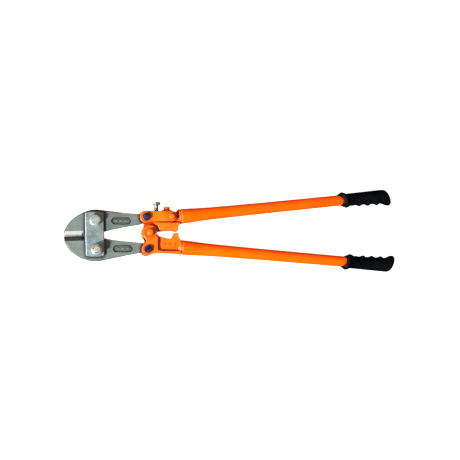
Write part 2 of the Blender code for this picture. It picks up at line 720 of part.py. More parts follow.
def make_grip(name, mouth, angle, outside, start, around=20):
    """Moulded grip: a flange with a lip, a body with finger waves on the inner side and a slanted round end."""
    edit = bmesh.new()
    first, last = GRIP_SLANT
    rings = []
    for along, outer, inner, depth in grip_sections():
        slant = math.tan(math.radians(first + (last - first) * max(0.0, along / GRIP_LENGTH)))
        lip = GRIP_LIP * min(1.0, max(0.0, -along / 12.0))
        ring = []
        for k in range(around):
            turn = math.tau * k / around
            height = math.cos(turn) * (outer if math.cos(turn) > 0 else inner)
            behind = start + along - height * slant + lip * math.sin(turn) ** 2
            ring.append(edit.verts.new(Vector((height * outside, math.sin(turn) * depth, behind)) * MM))
        rings.append(ring)
    for one, two in zip(rings, rings[1:]):
        for k in range(around):
            edit.faces.new((one[k], one[(k + 1) % around], two[(k + 1) % around], two[k]))
    middle = sum((corner.co for corner in rings[0]), Vector()) / around
    hub = edit.verts.new(middle)
    for k in range(around):
        edit.faces.new((rings[0][(k + 1) % around], rings[0][k], hub))
    edit.faces.new(rings[-1])
    bmesh.ops.recalc_face_normals(edit, faces=edit.faces)
    mesh = bpy.data.meshes.new(name)
    edit.to_mesh(mesh)
    edit.free()
    frame = handle_frame(mouth, angle)
    grip = new_object(name, mesh, frame)
    bore = TUBE_PROFILE[-1][1] / 2 + BORE_CLEARANCE
    end = start + GRIP_BORE_END
    combine(grip, rod(name + "_bore", bore, start - 40.0, end, frame, 24), "DIFFERENCE")
    return finish_part(grip, RUBBER)


# ---------------------------------------------------------------- assembly

BODIES = {
    "upper_jaw_axis": (JAW_PIVOT, 1, ["upper_jaw"]),
    "lower_jaw_axis": (JAW_PIVOT, -1, ["lower_jaw"]),
    "lower_handle_axis": (
        REAR_PIVOT,
        -1,
        [
            "lower_handle_head",
            "lower_rear_bolt",
            "lower_rear_nut",
            "center_bolt",
            "center_nut",
            "lower_tube",
            "lower_grip",
        ],
    ),
    "upper_handle_axis": (CENTRE_PIVOT, 1, ["upper_handle_head", "upper_tube", "upper_grip"]),
    "link_axis": (
        LINK_PIVOT,
        1,
        ["adjusting_link", "upper_rear_bolt", "upper_rear_nut", "link_bolt", "link_nut", "clamp_washer"],
    ),
}


def hang_on_axes():
    """Parent each moving piece to an empty on its joint's axis."""
    bpy.context.view_layer.update()
    for name, (pivot, side, pieces) in BODIES.items():
        empty = bpy.data.objects.new(name, None)
        PARTS.objects.link(empty)
        empty.matrix_world = vertical(tool_point(mirrored(pivot, side)))
        bpy.context.view_layer.update()
        for piece in pieces:
            part = bpy.data.objects[piece]
            part.parent = empty
            part.matrix_parent_inverse = empty.matrix_world.inverted()


def main():
    """Build the whole tool."""
    make_jaw("upper_jaw", 1, OPEN_HOLE, (57.2, 28.9), -2.0)
    make_jaw("lower_jaw", -1, REAR_SHANK + HOLE_GAP, (57.8, -31.6), -2.4)
    make_strap("front_strap", STRAP_INNER, STRAP_OUTER)
    make_strap("rear_strap", -STRAP_OUTER, -STRAP_INNER)
    make_fasteners()
    make_lower_head()
    make_upper_head()
    make_link()
    make_tube("upper_tube", UPPER_MOUTH, UPPER_ANGLE)
    make_tube("lower_tube", LOWER_MOUTH, LOWER_ANGLE)
    make_grip("upper_grip", UPPER_MOUTH, UPPER_ANGLE, 1, UPPER_GRIP_START)
    make_grip("lower_grip", LOWER_MOUTH, LOWER_ANGLE, -1, LOWER_GRIP_START)
    hang_on_axes()


main()
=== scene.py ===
"""Looks of the bolt cutters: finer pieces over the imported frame, materials, light and camera.

Lengths are in millimetres and angles in degrees, unless a comment says otherwise. +X runs from the
jaws to the grips, +Y to the side of the adjusting screw and +Z up through the tool, which lies on
the floor with its jaws shut.
"""

import math

import bmesh
import bpy
from mathutils import Matrix, Vector, noise
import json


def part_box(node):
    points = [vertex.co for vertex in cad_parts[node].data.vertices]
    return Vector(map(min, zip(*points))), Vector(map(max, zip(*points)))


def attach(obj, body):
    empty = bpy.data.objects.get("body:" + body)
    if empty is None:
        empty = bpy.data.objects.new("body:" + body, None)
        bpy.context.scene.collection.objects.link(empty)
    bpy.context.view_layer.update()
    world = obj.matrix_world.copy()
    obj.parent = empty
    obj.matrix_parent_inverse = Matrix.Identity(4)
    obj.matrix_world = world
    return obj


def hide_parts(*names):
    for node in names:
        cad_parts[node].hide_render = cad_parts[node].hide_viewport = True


MM = 0.001

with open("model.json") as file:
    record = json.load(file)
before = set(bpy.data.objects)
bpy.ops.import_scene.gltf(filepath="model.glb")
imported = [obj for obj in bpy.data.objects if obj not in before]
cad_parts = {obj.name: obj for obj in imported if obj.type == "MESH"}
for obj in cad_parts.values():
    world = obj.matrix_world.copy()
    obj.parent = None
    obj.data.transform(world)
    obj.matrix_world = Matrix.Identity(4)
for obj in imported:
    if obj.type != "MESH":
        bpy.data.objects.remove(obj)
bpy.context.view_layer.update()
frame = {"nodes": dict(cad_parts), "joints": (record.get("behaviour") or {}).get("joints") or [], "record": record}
NODES = frame["nodes"]
BODIES = frame["record"]["behaviour"]["bodies"]
BODY_OF = {node: body for body, members in BODIES.items() for node in members}
JOINT_AT = {joint["name"]: Vector(joint["pos_m"]) / MM for joint in frame["joints"]}

# The tool's middle plane, and the jaws' own frame: x runs back along the cutting line, and y to the
# upper jaw. The ground bevels lie within CUT_WIDTH of the line and in front of CUT_END.
MIDDLE = JOINT_AT["center_pivot"].z
JAW_Y = (JOINT_AT["upper_jaw_pivot"] - JOINT_AT["lower_jaw_pivot"]).normalized()
JAW_X = JAW_Y.cross(Vector((0.0, 0.0, 1.0)))
JAW_CENTRE = (JOINT_AT["upper_jaw_pivot"] + JOINT_AT["lower_jaw_pivot"]) / 2
JAW_HALF = 8.0
CUT_WIDTH = 10.5
CUT_END = -20.0

# Fasteners: width across the flats and radius of the shank. A head's underside is given as its
# height above the middle plane, on the straps or on the castings' ears.
JAW_HEX, JAW_SHANK = 22.0, 7.0
REAR_HEX, REAR_SHANK = 15.8, 4.5
PIVOT_HEX, PIVOT_SHANK = 15.0, 4.5
SCREW_HEX, SCREW_SHANK, SCREW_PITCH = 15.8, 4.6, 1.25
CLAMP_HEX, CLAMP_SHANK = 12.6, 2.6
ON_STRAP, ON_EAR = 13.6, 15.2
BORE_CLEARANCE = 0.3
HEX_ROUNDING = 0.5

# Faces round a turned or moulded piece, round a stem or bore, and round a thread or thin stem.
AROUND, AROUND_STEM, AROUND_THREAD = 96, 64, 48

# Tubes and grips, as in the frame: the mouth's place, the tube's angle, the side the grip's back is
# on (1 is +Y), and how far down the tube the grip starts. A row of the profile is distance from the
# mouth and diameter.
TUBES = {
    "upper": {"mouth": (-122.6, 25.1), "angle": 6.53, "outside": 1, "grip": 381.0},
    "lower": {"mouth": (-121.7, -43.1), "angle": -4.45, "outside": -1, "grip": 384.4},
}
TUBE_PROFILE = [(0, 32.0), (22, 31.2), (34, 29.7), (52, 28.2)]
TUBE_PROFILE += [(75, 27.1), (115, 26.1), (190, 24.9), (320, 24.1)]
TUBE_LENGTH = 468.0
TUBE_WALL = 2.2
MOUTH_BORE = 12.7
# Width of the painted highlight on the tube's rolled rim.
HIGHLIGHT_RIM_WIDTH = 1.4

# Grips. A row of the flange is distance, and outer, inner and sideways half.
GRIP_LENGTH = 106.7
GRIP_SLANT = (14.0, 19.0)
GRIP_FLANGE = [(-12.0, 13.5, 13.5, 13.5), (-7.0, 15.2, 15.2, 16.2), (-2.5, 17.8, 17.9, 20.4)]
GRIP_FLANGE += [(1.0, 17.9, 18.0, 20.5), (3.5, 16.8, 17.2, 19.2), (7.0, 14.8, 15.5, 16.9)]
GRIP_FLANGE += [(10.0, 14.0, 14.8, 15.8)]
GRIP_LIP = 6.0
GRIP_BODY = (14.95, 18.65, 16.55)
GRIP_CAP = 10.0
RIDGE_START, RIDGE_PITCH, RIDGE_COUNT, RIDGE_HEIGHT = 30.0, 20.6, 3, 1.7
GRIP_LOBE = 4.4
GRIP_BORE_START, GRIP_BORE_END = 40.0, 90.0

# Camera: how far it is turned to the jaws' side and tipped to the lower handle's side, from
# straight above.
CAMERA_YAW, CAMERA_PITCH, CAMERA_ROLL = 13.0, 5.5, 0.575
CAMERA_DISTANCE = 2400.0
CAMERA_TARGET = (-13.0, -4.3, 20.5)
CAMERA_LENS, CAMERA_SHIFT = 84.8, (0.0014, 0.0009)


# ---------------------------------------------------------------- shapes


def set_piece(piece, node):
    """Let a piece stand for a CAD node, riding on its body."""
    piece.name = node + "_skin"
    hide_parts(node)
    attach(piece, BODY_OF[node])
    return piece


def as_object(name, edit):
    """Turn an edit mesh into a linked object."""
    mesh = bpy.data.meshes.new(name)
    edit.to_mesh(mesh)
    edit.free()
    made = bpy.data.objects.new(name, mesh)
    bpy.context.scene.collection.objects.link(made)
    return made


def copy_node(node):
    """Clean editable copy of a CAD node: merged corners, and one face for each flat."""
    edit = bmesh.new()
    edit.from_mesh(NODES[node].data)
    bmesh.ops.remove_doubles(edit, verts=edit.verts, dist=0.000002)
    bmesh.ops.dissolve_limit(
        edit,
        angle_limit=math.radians(0.5),
        verts=edit.verts,
        edges=edit.edges,
        use_dissolve_boundaries=False,
    )
    bmesh.ops.recalc_face_normals(edit, faces=edit.faces)
    return as_object(node + "_copy", edit)


def settle(piece):
    """Apply all the modifiers of a piece."""
    bpy.context.view_layer.update()
    seen = piece.evaluated_get(bpy.context.evaluated_depsgraph_get())
    mesh = bpy.data.meshes.new_from_object(seen)
    old = piece.data
    piece.modifiers.clear()
    piece.data = mesh
    bpy.data.meshes.remove(old)
    return piece


def soften(piece, voxel, passes, keep):
    """Rebuild a casting as one skin with rounded edges and fillets, then thin its faces out."""
    remesh = piece.modifiers.new("Skin", "REMESH")
    remesh.mode = "VOXEL"
    remesh.voxel_size = voxel * MM
    blur = piece.modifiers.new("Round", "SMOOTH")
    blur.factor = 0.5
    blur.iterations = passes
    thin = piece.modifiers.new("Thin", "DECIMATE")
    thin.ratio = keep
    settle(piece)
    piece.data.shade_smooth()
    return piece


def round_edges(piece, width):
    """Round a machined piece's edges a little, keeping its flats flat."""
    piece.data.shade_smooth()
    bevel = piece.modifiers.new("Edges", "BEVEL")
    bevel.width = width * MM
    bevel.segments = 2
    bevel.limit_method = "ANGLE"
    bevel.angle_limit = math.radians(32.0)
    even = piece.modifiers.new("Even", "WEIGHTED_NORMAL")
    even.weight = 100
    return settle(piece)


def axis_frame(origin, x_axis, z_axis):
    """Frame with a given x axis and z axis at a point, in millimetres."""
    x_axis, z_axis = Vector(x_axis).normalized(), Vector(z_axis).normalized()
    turn = Matrix((x_axis, z_axis.cross(x_axis), z_axis)).transposed().to_4x4()
    return Matrix.Translation(Vector(origin) * MM) @ turn


def add_ring(edit, points):
    """New corners at a list of points in millimetres."""
    return [edit.verts.new((x * MM, y * MM, z * MM)) for x, y, z in points]


def join_rings(edit, one, two):
    """Faces between two rings of as many corners. Corners that fall together make a triangle."""
    for k in range(len(one)):
        after = (k + 1) % len(one)
        edit.faces.new(list(dict.fromkeys((one[k], one[after], two[after], two[k]))))


def lathe(name, profile, place, around=AROUND, ring=False):
    """Turned solid from a profile of radius and height. A ring's profile is a closed loop."""
    edit = bmesh.new()
    rows = []
    for radius, height in profile:
        if radius == 0.0:
            rows.append([edit.verts.new((0.0, 0.0, height * MM))] * around)
            continue
        turns = [math.tau * k / around for k in range(around)]
        points = [(radius * math.cos(a), radius * math.sin(a), height) for a in turns]
        rows.append(add_ring(edit, points))
    pairs = list(zip(rows, rows[1:]))
    if ring:
        pairs.append((rows[-1], rows[0]))
    for one, two in pairs:
        join_rings(edit, one, two)
    bmesh.ops.recalc_face_normals(edit, faces=edit.faces)
    edit.transform(place)
    return as_object(name, edit)


def hexagon(name, flats, low, high, place, turn):
    """Hexagonal bar with slightly rounded corners."""
    edit = bmesh.new()
    corner = flats / 2 / math.cos(math.radians(30))
    around = [math.radians(turn + 60 * k) for k in range(6)]
    low_ring = add_ring(edit, [(corner * math.cos(a), corner * math.sin(a), low) for a in around])
    high_ring = [edit.verts.new((v.co.x, v.co.y, high * MM)) for v in low_ring]
    join_rings(edit, low_ring, high_ring)
    edit.faces.new(low_ring[::-1])
    edit.faces.new(high_ring)
    upright = [e for e in edit.edges if abs(e.verts[0].co.z - e.verts[1].co.z) > 0.0001]
    bmesh.ops.bevel(
        edit, geom=upright, offset=HEX_ROUNDING * MM, segments=3, affect="EDGES", profile=0.5
    )
    bmesh.ops.recalc_face_normals(edit, faces=edit.faces)
    edit.transform(place)
    return as_object(name, edit)


def combine(target, other, operation):
    """Join, cut or intersect a piece with another, which is used up."""
    step = target.modifiers.new(other.name, "BOOLEAN")
    step.operation = operation
    step.solver = "EXACT"
    step.object = other
    settle(target)
    bpy.data.objects.remove(other, do_unlink=True)
    return target


def thread(name, radius, pitch, low, high, place):
    """Threaded rod: a helical ridge that fades out at both ends, with a chamfered top."""
    per_turn = 10
    rows = max(6, int((high - low) / pitch * per_turn))
    depth = 0.6 * pitch
    edit = bmesh.new()
    rings = []
    for i in range(rows + 1):
        height = low + (high - low) * i / rows
        fade = min(1.0, (i + 1) / per_turn, (rows - i + 2) / per_turn)
        points = []
        for k in range(AROUND_THREAD):
            share = (height / pitch + k / AROUND_THREAD) % 1.0
            groove = depth * (1.0 - abs(2.0 * share - 1.0)) * fade
            reach = radius - groove - max(0.0, height - high + 0.7) * 0.8
            turn = -math.tau * k / AROUND_THREAD
            points.append((reach * math.cos(turn), reach * math.sin(turn), height))
        rings.append(add_ring(edit, points))
    for one, two in zip(rings, rings[1:]):
        join_rings(edit, one, two)
    edit.faces.new(rings[0])
    edit.faces.new(rings[-1])
    bmesh.ops.recalc_face_normals(edit, faces=edit.faces)
    edit.transform(place)
    return as_object(name, edit)


def middle(node):
    """Middle of a CAD node's box, in millimetres."""
    low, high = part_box(node)
    return (low + high) / 2 / MM


def span(node, axis):
    """Lowest and highest coordinate of a CAD node along an axis, in millimetres."""
    low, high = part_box(node)
    return low[axis] / MM, high[axis] / MM


# ---------------------------------------------------------------- materials


def link_or_set(tree, socket, value):
    """Join a socket to another one, or set its value."""
    if isinstance(value, bpy.types.NodeSocket):
        tree.links.new(value, socket)
    else:
        socket.default_value = value


def add_node(tree, kind, inputs=None, **settings):
    """New shader node with its settings and inputs. Inputs are values or other nodes' sockets."""
    made = tree.nodes.new(kind)
    for key, value in settings.items():
        setattr(made, key, value)
    for key, value in (inputs or {}).items():
        link_or_set(tree, made.inputs[key], value)
    return made


def new_material(name):
    """New material. Returns it, its node tree, its Principled shader and its coordinates."""
    material = bpy.data.materials.new(name)
    material.use_nodes = True
    tree = material.node_tree
    shader = tree.nodes["Principled BSDF"]
    place = add_node(tree, "ShaderNodeTexCoord").outputs["Object"]
    return material, tree, shader, place


def blotches(tree, place, scale, detail, stretch=None, turn=0.0):
    """Noise with features of 1/scale metres, stretched along an axis, as a 0 to 1 socket."""
    if stretch:
        inputs = {"Vector": place, "Scale": stretch, "Rotation": (0.0, 0.0, math.radians(turn))}
        place = add_node(tree, "ShaderNodeMapping", inputs).outputs["Vector"]
    made = add_node(tree, "ShaderNodeTexNoise", {"Vector": place, "Scale": scale, "Detail": detail})
    return made.outputs["Fac"]


def spread(tree, value, low, high, to_low=0.0, to_high=1.0):
    """Map a range of values to another, clamped."""
    inputs = {"Value": value, "From Min": low, "From Max": high, "To Min": to_low, "To Max": to_high}
    return add_node(tree, "ShaderNodeMapRange", inputs).outputs["Result"]


def blend(tree, share, one, two):
    """Mix two colours."""
    made = add_node(tree, "ShaderNodeMix", data_type="RGBA")
    for key, value in (("Factor_Float", share), ("A_Color", one), ("B_Color", two)):
        socket = next(s for s in made.inputs if s.identifier == key)
        link_or_set(tree, socket, (*value, 1.0) if isinstance(value, tuple) else value)
    return next(s for s in made.outputs if s.identifier == "Result_Color")


def arithmetic(tree, operation, one, two=0.5):
    """Result of a maths operation on one or two values."""
    made = add_node(tree, "ShaderNodeMath", operation=operation)
    link_or_set(tree, made.inputs[0], one)
    link_or_set(tree, made.inputs[1], two)
    return made.outputs["Value"]


def edges_of(tree, radius):
    """How close a point is to an edge: 0 on a flat, 1 on a sharp edge."""
    rounded = add_node(tree, "ShaderNodeBevel", {"Radius": radius * MM}, samples=6).outputs["Normal"]
    flat = add_node(tree, "ShaderNodeNewGeometry").outputs["Normal"]
    match = add_node(tree, "ShaderNodeVectorMath", {0: rounded, 1: flat}, operation="DOT_PRODUCT")
    return spread(tree, match.outputs["Value"], 0.995, 0.85)


def hollows_of(tree, reach):
    """Ambient occlusion: 1 in the open, 0 deep in a hollow."""
    made = add_node(tree, "ShaderNodeAmbientOcclusion", {"Distance": reach * MM}, samples=6)
    return made.outputs["AO"]


def rough_up(tree, shader, height, strength, distance):
    """Bump a shader's surface by a height socket."""
    inputs = {"Height": height, "Strength": strength, "Distance": distance * MM}
    made = add_node(tree, "ShaderNodeBump", inputs)
    tree.links.new(made.outputs["Normal"], shader.inputs["Normal"])


def make_paint(name, colour, deep, bright, peel, chips, gloss):
    """Paint: broad tone changes, painted shade in hollows, painted highlights on edges, orange peel and a few
    chips.
    """
    material, tree, shader, place = new_material(name)
    broad = blotches(tree, place, 22.0, 4.0)
    shade = blend(tree, spread(tree, broad, 0.35, 0.65), colour, bright)
    # Painted shade: a deep red darkening in hollows and gaps, where shade falls.
    hollow = spread(tree, hollows_of(tree, 14.0), 0.45, 0.97)
    shade = blend(tree, hollow, deep, shade)
    # Painted highlight: edges turn lighter. The same edge mask also places the chips.
    edge = edges_of(tree, 1.0)
    shade = blend(tree, arithmetic(tree, "MULTIPLY", edge, 0.35), shade, bright)
    patches = spread(tree, blotches(tree, place, 170.0, 6.0), 0.60, 0.66)
    worn = arithmetic(tree, "MULTIPLY", edge, patches)
    speck = spread(tree, blotches(tree, place, 260.0, 2.0), 0.735, 0.75, 0.0, 0.6)
    worn = arithmetic(tree, "MULTIPLY", arithmetic(tree, "MAXIMUM", worn, speck), chips)
    shade = blend(tree, worn, shade, (0.16, 0.10, 0.08))
    tree.links.new(shade, shader.inputs["Base Color"])
    rough = spread(tree, blotches(tree, place, 60.0, 5.0), 0.3, 0.7, 0.26, 0.40)
    rough = arithmetic(tree, "ADD", rough, arithmetic(tree, "MULTIPLY", worn, 0.3))
    tree.links.new(rough, shader.inputs["Roughness"])
    shader.inputs["Specular IOR Level"].default_value = 0.5 * gloss
    shader.inputs["Coat Weight"].default_value = 0.3 * gloss
    shader.inputs["IOR"].default_value = 1.25 + 0.25 * gloss
    shader.inputs["Coat Roughness"].default_value = 0.16
    fine = blotches(tree, place, peel, 2.0)
    lump = arithmetic(tree, "MULTIPLY", blotches(tree, place, 120.0, 2.0), 1.6 * gloss)
    rough_up(tree, shader, arithmetic(tree, "ADD", fine, lump), 0.35, 0.12)
    return material


def make_steel(name, colour, dark, bright, grain_turn, roughness):
    """Ground steel: streaks, a cloudy patina, painted edge highlights, painted shade in hollows, and side walls
    darkened by painted shade over their dark scale.
    """
    material, tree, shader, place = new_material(name)
    cloud = blotches(tree, place, 45.0, 6.0)
    streak = blotches(tree, place, 900.0, 3.0, (0.04, 1.0, 1.0), grain_turn)
    shade = blend(tree, spread(tree, cloud, 0.32, 0.68), dark, colour)
    shade = blend(tree, spread(tree, streak, 0.45, 0.75, 0.0, 0.35), shade, bright)
    spots = spread(tree, blotches(tree, place, 330.0, 4.0), 0.62, 0.72, 0.0, 0.5)
    shade = blend(tree, spots, shade, tuple(0.55 * c for c in dark))
    # Side walls darker by how far they tilt from the top: painted shade, over the dark scale unground walls carry.
    normal = add_node(tree, "ShaderNodeNewGeometry").outputs["True Normal"]
    upright = add_node(tree, "ShaderNodeSeparateXYZ", {0: normal}).outputs["Z"]
    side = spread(tree, arithmetic(tree, "ABSOLUTE", upright), 0.3, 0.92, 0.95, 0.0)
    shade = blend(tree, side, shade, tuple(0.3 * c for c in dark))
    # Painted shade: very dark in pockets and hollows, where shade falls.
    hollow = spread(tree, hollows_of(tree, 7.0), 0.68, 0.97)
    shade = blend(tree, hollow, tuple(0.06 * c for c in dark), shade)
    # Painted highlight along the edges.
    shade = blend(tree, arithmetic(tree, "MULTIPLY", edges_of(tree, 0.7), 0.6), shade, bright)
    tree.links.new(shade, shader.inputs["Base Color"])
    shader.inputs["Metallic"].default_value = 0.35
    rough = spread(tree, cloud, 0.3, 0.7, roughness + 0.1, roughness - 0.05)
    tree.links.new(rough, shader.inputs["Roughness"])
    scratches = arithmetic(tree, "MULTIPLY", streak, 0.7)
    height = arithmetic(tree, "ADD", scratches, blotches(tree, place, 500.0, 3.0))
    rough_up(tree, shader, height, 0.4, 0.06)
    return material


def make_zinc(name):
    """Zinc plate: bluish, with cloudy spangle, small dark marks and a faint painted highlight on edges."""
    material, tree, shader, place = new_material(name)
    inputs = {"Vector": place, "Scale": 190.0, "Randomness": 1.0}
    cells = add_node(tree, "ShaderNodeTexVoronoi", inputs)
    cloud = blotches(tree, place, 70.0, 6.0)
    spangle = arithmetic(tree, "MULTIPLY", cells.outputs["Distance"], 0.35)
    patch = arithmetic(tree, "ADD", spangle, cloud)
    shade = blend(tree, spread(tree, patch, 0.45, 0.85), (0.17, 0.22, 0.225), (0.27, 0.33, 0.335))
    marks = spread(tree, blotches(tree, place, 240.0, 5.0), 0.60, 0.70, 0.0, 0.55)
    shade = blend(tree, marks, shade, (0.10, 0.14, 0.15))
    # Faint painted highlight along the edges.
    edge = arithmetic(tree, "MULTIPLY", edges_of(tree, 0.9), 0.15)
    shade = blend(tree, edge, shade, (0.32, 0.37, 0.37))
    tree.links.new(shade, shader.inputs["Base Color"])
    shader.inputs["Metallic"].default_value = 0.5
    tree.links.new(spread(tree, cloud, 0.3, 0.7, 0.34, 0.5), shader.inputs["Roughness"])
    height = arithmetic(tree, "ADD", patch, blotches(tree, place, 700.0, 2.0))
    rough_up(tree, shader, height, 0.3, 0.08)
    return material


def make_plated(name, colour, dark, roughness, metallic):
    """Plated fastener: soft clouds, painted highlights on edges and painted shade in the corners."""
    material, tree, shader, place = new_material(name)
    cloud = blotches(tree, place, 130.0, 5.0)
    shade = blend(tree, spread(tree, cloud, 0.35, 0.65), dark, colour)
    # Painted shade in the corners.
    hollow = spread(tree, hollows_of(tree, 3.0), 0.3, 0.85)
    shade = blend(tree, hollow, tuple(0.3 * c for c in dark), shade)
    # Painted highlight along the edges.
    light = tuple(min(1.0, 1.6 * c + 0.08) for c in colour)
    shade = blend(tree, arithmetic(tree, "MULTIPLY", edges_of(tree, 0.6), 0.6), shade, light)
    tree.links.new(shade, shader.inputs["Base Color"])
    shader.inputs["Metallic"].default_value = metallic
    rough = spread(tree, cloud, 0.3, 0.7, roughness - 0.06, roughness + 0.1)
    tree.links.new(rough, shader.inputs["Roughness"])
    turned = blotches(tree, place, 1400.0, 2.0)
    rough_up(tree, shader, arithmetic(tree, "ADD", turned, cloud), 0.25, 0.05)
    return material


def make_rubber(name):
    """Moulded rubber: near black, with a fine matte grain and specks of dust."""
    material, tree, shader, place = new_material(name)
    cloud = blotches(tree, place, 35.0, 5.0)
    shade = blend(tree, spread(tree, cloud, 0.3, 0.7), (0.002, 0.002, 0.003), (0.005, 0.006, 0.008))
    dust = spread(tree, blotches(tree, place, 420.0, 6.0), 0.58, 0.72, 0.0, 0.35)
    shade = blend(tree, dust, shade, (0.012, 0.013, 0.015))
    tree.links.new(shade, shader.inputs["Base Color"])
    tree.links.new(spread(tree, cloud, 0.3, 0.7, 0.50, 0.60), shader.inputs["Roughness"])
    shader.inputs["Specular IOR Level"].default_value = 0.1
    cells = add_node(tree, "ShaderNodeTexVoronoi", {"Vector": place, "Scale": 1100.0})
    fine = blotches(tree, place, 600.0, 3.0)
    rough_up(tree, shader, arithmetic(tree, "ADD", cells.outputs["Distance"], fine), 0.35, 0.1)
    return material


def dress(piece, *materials):
    """Give a piece its materials."""
    piece.data.materials.clear()
    for material in materials:
        piece.data.materials.append(material)
    return piece


# Paints are given as colour, painted shade in hollows, a lighter tone that also paints a highlight on
# edges, the scale of the orange peel, how strongly it chips, and gloss. Steels are colour, dark (which
# also gives their painted shade), bright (which also gives their painted edge highlights), the grain's
# direction and roughness.
CAST = make_paint(
    "cast_paint", (0.77, 0.122, 0.001), (0.34, 0.008, 0.000), (0.87, 0.172, 0.003), 700.0, 0.8, 0.7
)
TUBE = make_paint(
    "tube_paint", (0.87, 0.108, 0.001), (0.36, 0.010, 0.000), (0.93, 0.132, 0.002), 420.0, 0.5, 0.3
)
# Paler copy of the tube paint: the painted highlight on the tubes' rolled rims.
RIM_HIGHLIGHT = make_paint(
    "rim_highlight_paint", (0.88, 0.25, 0.09), (0.70, 0.10, 0.03), (0.92, 0.36, 0.17), 420.0, 0.4, 0.6
)
JAW = make_steel(
    "jaw_steel", (0.190, 0.226, 0.214), (0.122, 0.152, 0.148), (0.33, 0.37, 0.355), 3.0, 0.42
)
# Lit and shaded copies of one ground steel for the cutting bevels: painted highlight on the upper jaw's bevel,
# painted shade on the lower's.
LIT_GROUND = make_steel(
    "lit_bevel_steel", (0.56, 0.585, 0.565), (0.44, 0.465, 0.45), (0.74, 0.76, 0.74), 93.0, 0.34
)
SHADED = make_steel(
    "shaded_bevel_steel", (0.075, 0.075, 0.066), (0.050, 0.050, 0.044), (0.16, 0.16, 0.14), 93.0, 0.5
)
ZINC = make_zinc("zinc_plate")
SCREW = make_plated("screw_steel", (0.78, 0.80, 0.75), (0.52, 0.54, 0.50), 0.24, 0.95)
NICKEL = make_plated("nickel_plate", (0.70, 0.75, 0.70), (0.46, 0.50, 0.46), 0.28, 0.8)
BLACKED = make_plated("blacked_steel", (0.095, 0.078, 0.225), (0.022, 0.014, 0.060), 0.28, 0.75)
RUBBER = make_rubber("grip_rubber")


# ---------------------------------------------------------------- castings, jaws and straps


def skin_of(piece):
    """Every vertex of a piece with its place and normal, as they are before any is moved."""
    return [(vertex, vertex.co.copy(), vertex.normal.copy()) for vertex in piece.data.vertices]


def roughen(piece, height, scale):
    """Push a casting's skin in and out a little, as sand casting leaves it."""
    for vertex, spot, normal in skin_of(piece):
        lump = noise.noise(spot * scale) + 0.5 * noise.noise(spot * scale * 2.7)
        vertex.co = spot + normal * (height * lump * MM)


def add_parting_line(piece, height, width):
    """Raise the thin seam that the mould's halves leave on the side walls."""
    for vertex, spot, normal in skin_of(piece):
        away = abs(spot.z / MM - MIDDLE) / width
        if away < 1.0 and abs(normal.z) < 0.5:
            vertex.co = spot + normal * (height * (1.0 - away) * MM)


def make_castings():
    """Both handle heads and the adjusting link, with the rounded edges of painted castings."""
    for node in ("lower_handle_head", "upper_handle_head", "adjusting_link"):
        piece = soften(copy_node(node), voxel=0.5, passes=8, keep=0.4)
        add_parting_line(piece, height=0.35, width=0.9)
        roughen(piece, height=0.16, scale=150.0)
        dress(set_piece(piece, node), CAST)


def in_jaw_frame(point):
    """Point in the jaws' own frame, in millimetres."""
    away = Vector(point) / MM - JAW_CENTRE
    return away.dot(JAW_X), away.dot(JAW_Y), point[2] / MM - MIDDLE


def make_jaws():
    """Both jaws: crisp ground faces, and cutting bevels in lit and shaded copies of one steel: a painted highlight
    on the upper bevel and painted shade on the lower.
    """
    for node in ("upper_jaw", "lower_jaw"):
        # The upper bevel takes the lit copy and the lower bevel the shaded copy: painted highlight and painted
        # shade.
        piece = dress(copy_node(node), JAW, LIT_GROUND if node == "upper_jaw" else SHADED)
        for face in piece.data.polygons:
            x, y, z = in_jaw_frame(face.center)
            tipped = 0.2 < abs(face.normal.z) < 0.95
            near_cut = abs(y) < CUT_WIDTH and x < CUT_END and abs(z) < JAW_HALF
            face.material_index = 1 if tipped and near_cut else 0
        round_edges(piece, width=0.35)
        set_piece(piece, node)


def make_straps():
    """Both joint straps, with their edges rounded."""
    for node in ("front_strap", "rear_strap"):
        dress(set_piece(round_edges(copy_node(node), width=0.4), node), ZINC)


# ---------------------------------------------------------------- fasteners


def hex_head(name, flats, low, high, place, turn, foot=None):
    """Hexagonal head or nut with a chamfered face. A foot is the radius of a washer face under it."""
    corner = flats / 2 / math.cos(math.radians(30))
    face = flats / 2 * 0.92
    drop = (corner - face) * 0.62
    profile = [(0.0, high), (face - 0.5, high), (face, high - 0.12), (corner + 0.2, high - drop)]
    if foot:
        profile += [(corner + 0.2, low + 0.7), (foot, low + 0.5), (foot, low), (0.0, low)]
    else:
        profile += [(corner + 0.2, low + drop), (face, low), (0.0, low)]
    head = lathe(name, profile, place)
    bar = hexagon(name + "_bar", flats, low - 1.0, high + 1.0, place, turn)
    return combine(head, bar, "INTERSECT")


def finish_metal(piece, node, material, limit=25.0):
    """Shade a machined piece and let it stand for its node."""
    piece.data.shade_smooth()
    piece.data.set_sharp_from_angle(angle=math.radians(limit))
    return dress(set_piece(piece, node), material)


def upright(node, flip=False):
    """Frame on a fastener's axis through the tool, at the middle plane."""
    spot = middle(node)
    up = -1.0 if flip else 1.0
    return axis_frame((spot.x, spot.y, MIDDLE), (1.0, 0.0, 0.0), (0.0, 0.0, up))


